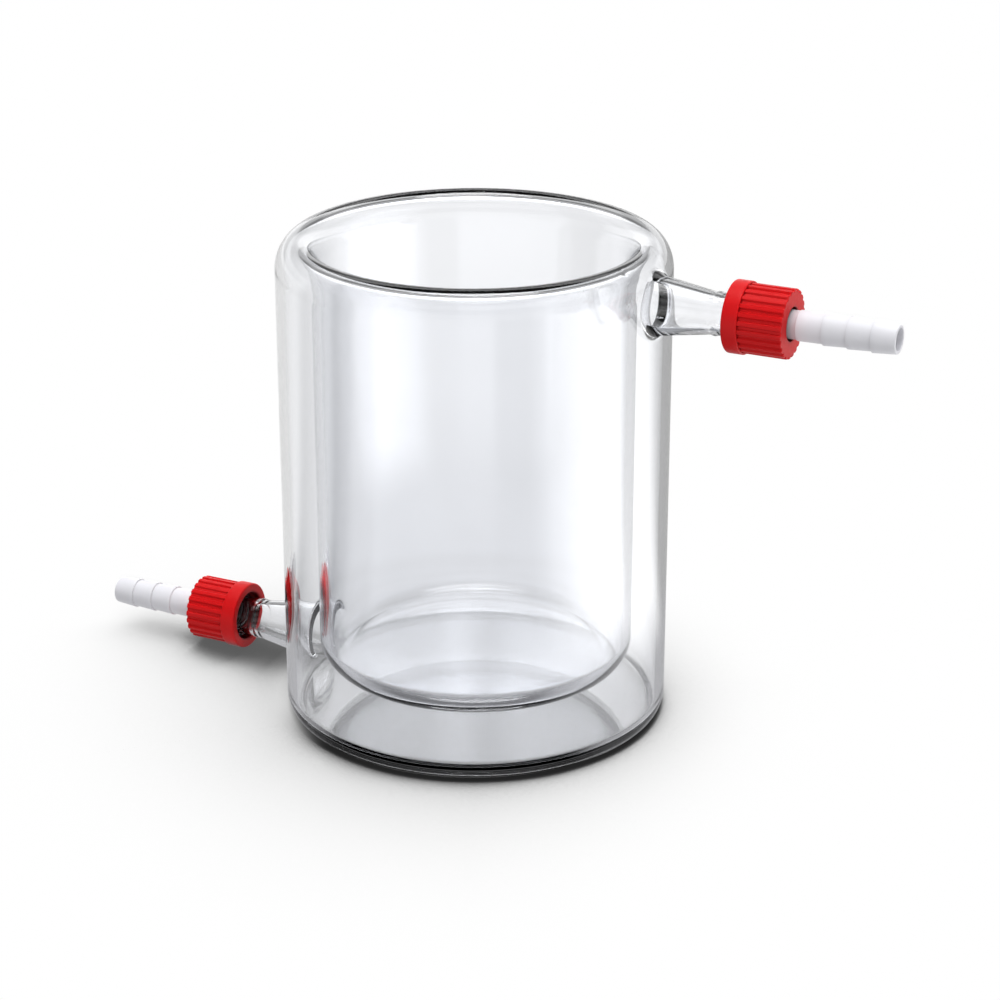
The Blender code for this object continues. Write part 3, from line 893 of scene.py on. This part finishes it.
def floor():
    """A white sheet that glows as if lit from all round, with a painted shadow where the object stands close
    over it and a painted reflection where the glass mirrors it.
    """
    bpy.ops.mesh.primitive_plane_add(size=FLOOR_SIZE, location=(0, 0, -FLOOR_DROP))
    plane = bpy.context.object
    plane.name = "studio_floor"
    plane.visible_diffuse = False
    material, shader = new_material("studio_floor", BLACK, 1.0)
    tree = material.node_tree
    shader.inputs["Specular IOR Level"].default_value = 0.0
    place = tree.nodes.new("ShaderNodeTexCoord")
    forward, right, _ = directions(tree, place.outputs["Object"])
    turn = turn_share(tree, forward, right)
    distance = distance_out(tree, forward, right)
    path = tree.nodes.new("ShaderNodeLightPath")
    by_mirror = compute(tree, "GREATER_THAN", path.outputs["Glossy Depth"], 0.5)
    by_many = compute(tree, "GREATER_THAN", path.outputs["Glossy Depth"], 1.5)
    mirrored = blend(tree, by_many, sheet_painted_reflection(tree, turn, distance), SHEET_AFTER_MANY)
    colour = blend(tree, by_mirror, sheet_painted_shadow(tree, turn, distance, right), mirrored)
    # The sheet glows in these painted levels, dimmed after reflections in glass, over a black base colour.
    tree.links.new(colour, shader.inputs["Emission Color"])
    tree.links.new(after_reflections(tree, SHEET_IN_A_WALL), shader.inputs["Emission Strength"])
    plane.data.materials.append(material)


def room():
    """Soft light from all round, as the world."""
    world = bpy.data.worlds.new("studio")
    bpy.context.scene.world = world
    world.use_nodes = True
    tree = world.node_tree
    background = tree.nodes["Background"]
    place = tree.nodes.new("ShaderNodeTexCoord")
    forward, right, up = directions(tree, place.outputs["Generated"])
    turn = turn_share(tree, forward, right)
    rise = compute(tree, "ADD", compute(tree, "MULTIPLY", up, 0.5), 0.5)
    light = blend(tree, 1.0, ramp(tree, turn, AROUND_HIGH), ramp(tree, rise, UP_AND_DOWN), "MULTIPLY")
    lit_wall = blend(tree, 1.0, ramp(tree, turn, BEHIND), ramp(tree, rise, BEHIND_HEIGHT), "MULTIPLY")
    light = blend(tree, went_inside(tree, CUP_CROSSINGS), light, lit_wall, "ADD")
    tree.links.new(blend(tree, 1.0, light, LIGHT_TINT, "MULTIPLY"), background.inputs["Color"])
    tree.links.new(after_reflections(tree, ROOM_IN_A_WALL), background.inputs["Strength"])


def overhead():
    sun = bpy.data.lights.new("overhead", "SUN")
    sun.energy = SUN_ENERGY
    sun.angle = SUN_ANGLE
    item = bpy.data.objects.new("overhead", sun)
    bpy.context.scene.collection.objects.link(item)
    item.rotation_euler = (-SUN_FROM).to_track_quat("-Z", "Y").to_euler()


def studio():
    room()
    floor()
    overhead()
    scene = bpy.context.scene
    scene.view_settings.view_transform = "Standard"
    scene.cycles.max_bounces = 24
    scene.cycles.transmission_bounces = 24
    scene.cycles.glossy_bounces = 8


def camera():
    """The photograph's view: slightly above, with the upper connector to the right."""
    view = bpy.data.cameras.new("camera")
    view.lens = VIEW_LENS
    view.sensor_width = VIEW_SENSOR
    item = bpy.data.objects.new("camera", view)
    bpy.context.scene.collection.objects.link(item)
    item.location = VIEW_PLACE
    item.rotation_euler = (math.radians(90) - VIEW_TILT, 0.0, VIEW_TURN)
    bpy.context.scene.camera = item


def main():
    camera()
    studio()
    vessel = glass_body(glass_material())
    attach(vessel, "glass")
    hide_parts("inner_beaker", "outer_jacket", "upper_arm_cone", "upper_arm_neck",
                "lower_arm_cone", "lower_arm_neck")
    makers = {
        "cap": (cap, red_material(), "cap", "red_plastic"),
        "nozzle": (nozzle, white_material(), "nozzle", "white_plastic"),
        "gasket": (gasket, silicone_material(), "nozzle", "silicone")}
    for prefix in PORTS:
        for node, (make, material, body, slot) in makers.items():
            piece = make(prefix, material)
            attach(piece, f"{prefix}_{body}")
            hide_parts(f"{prefix}_{node}")


main()
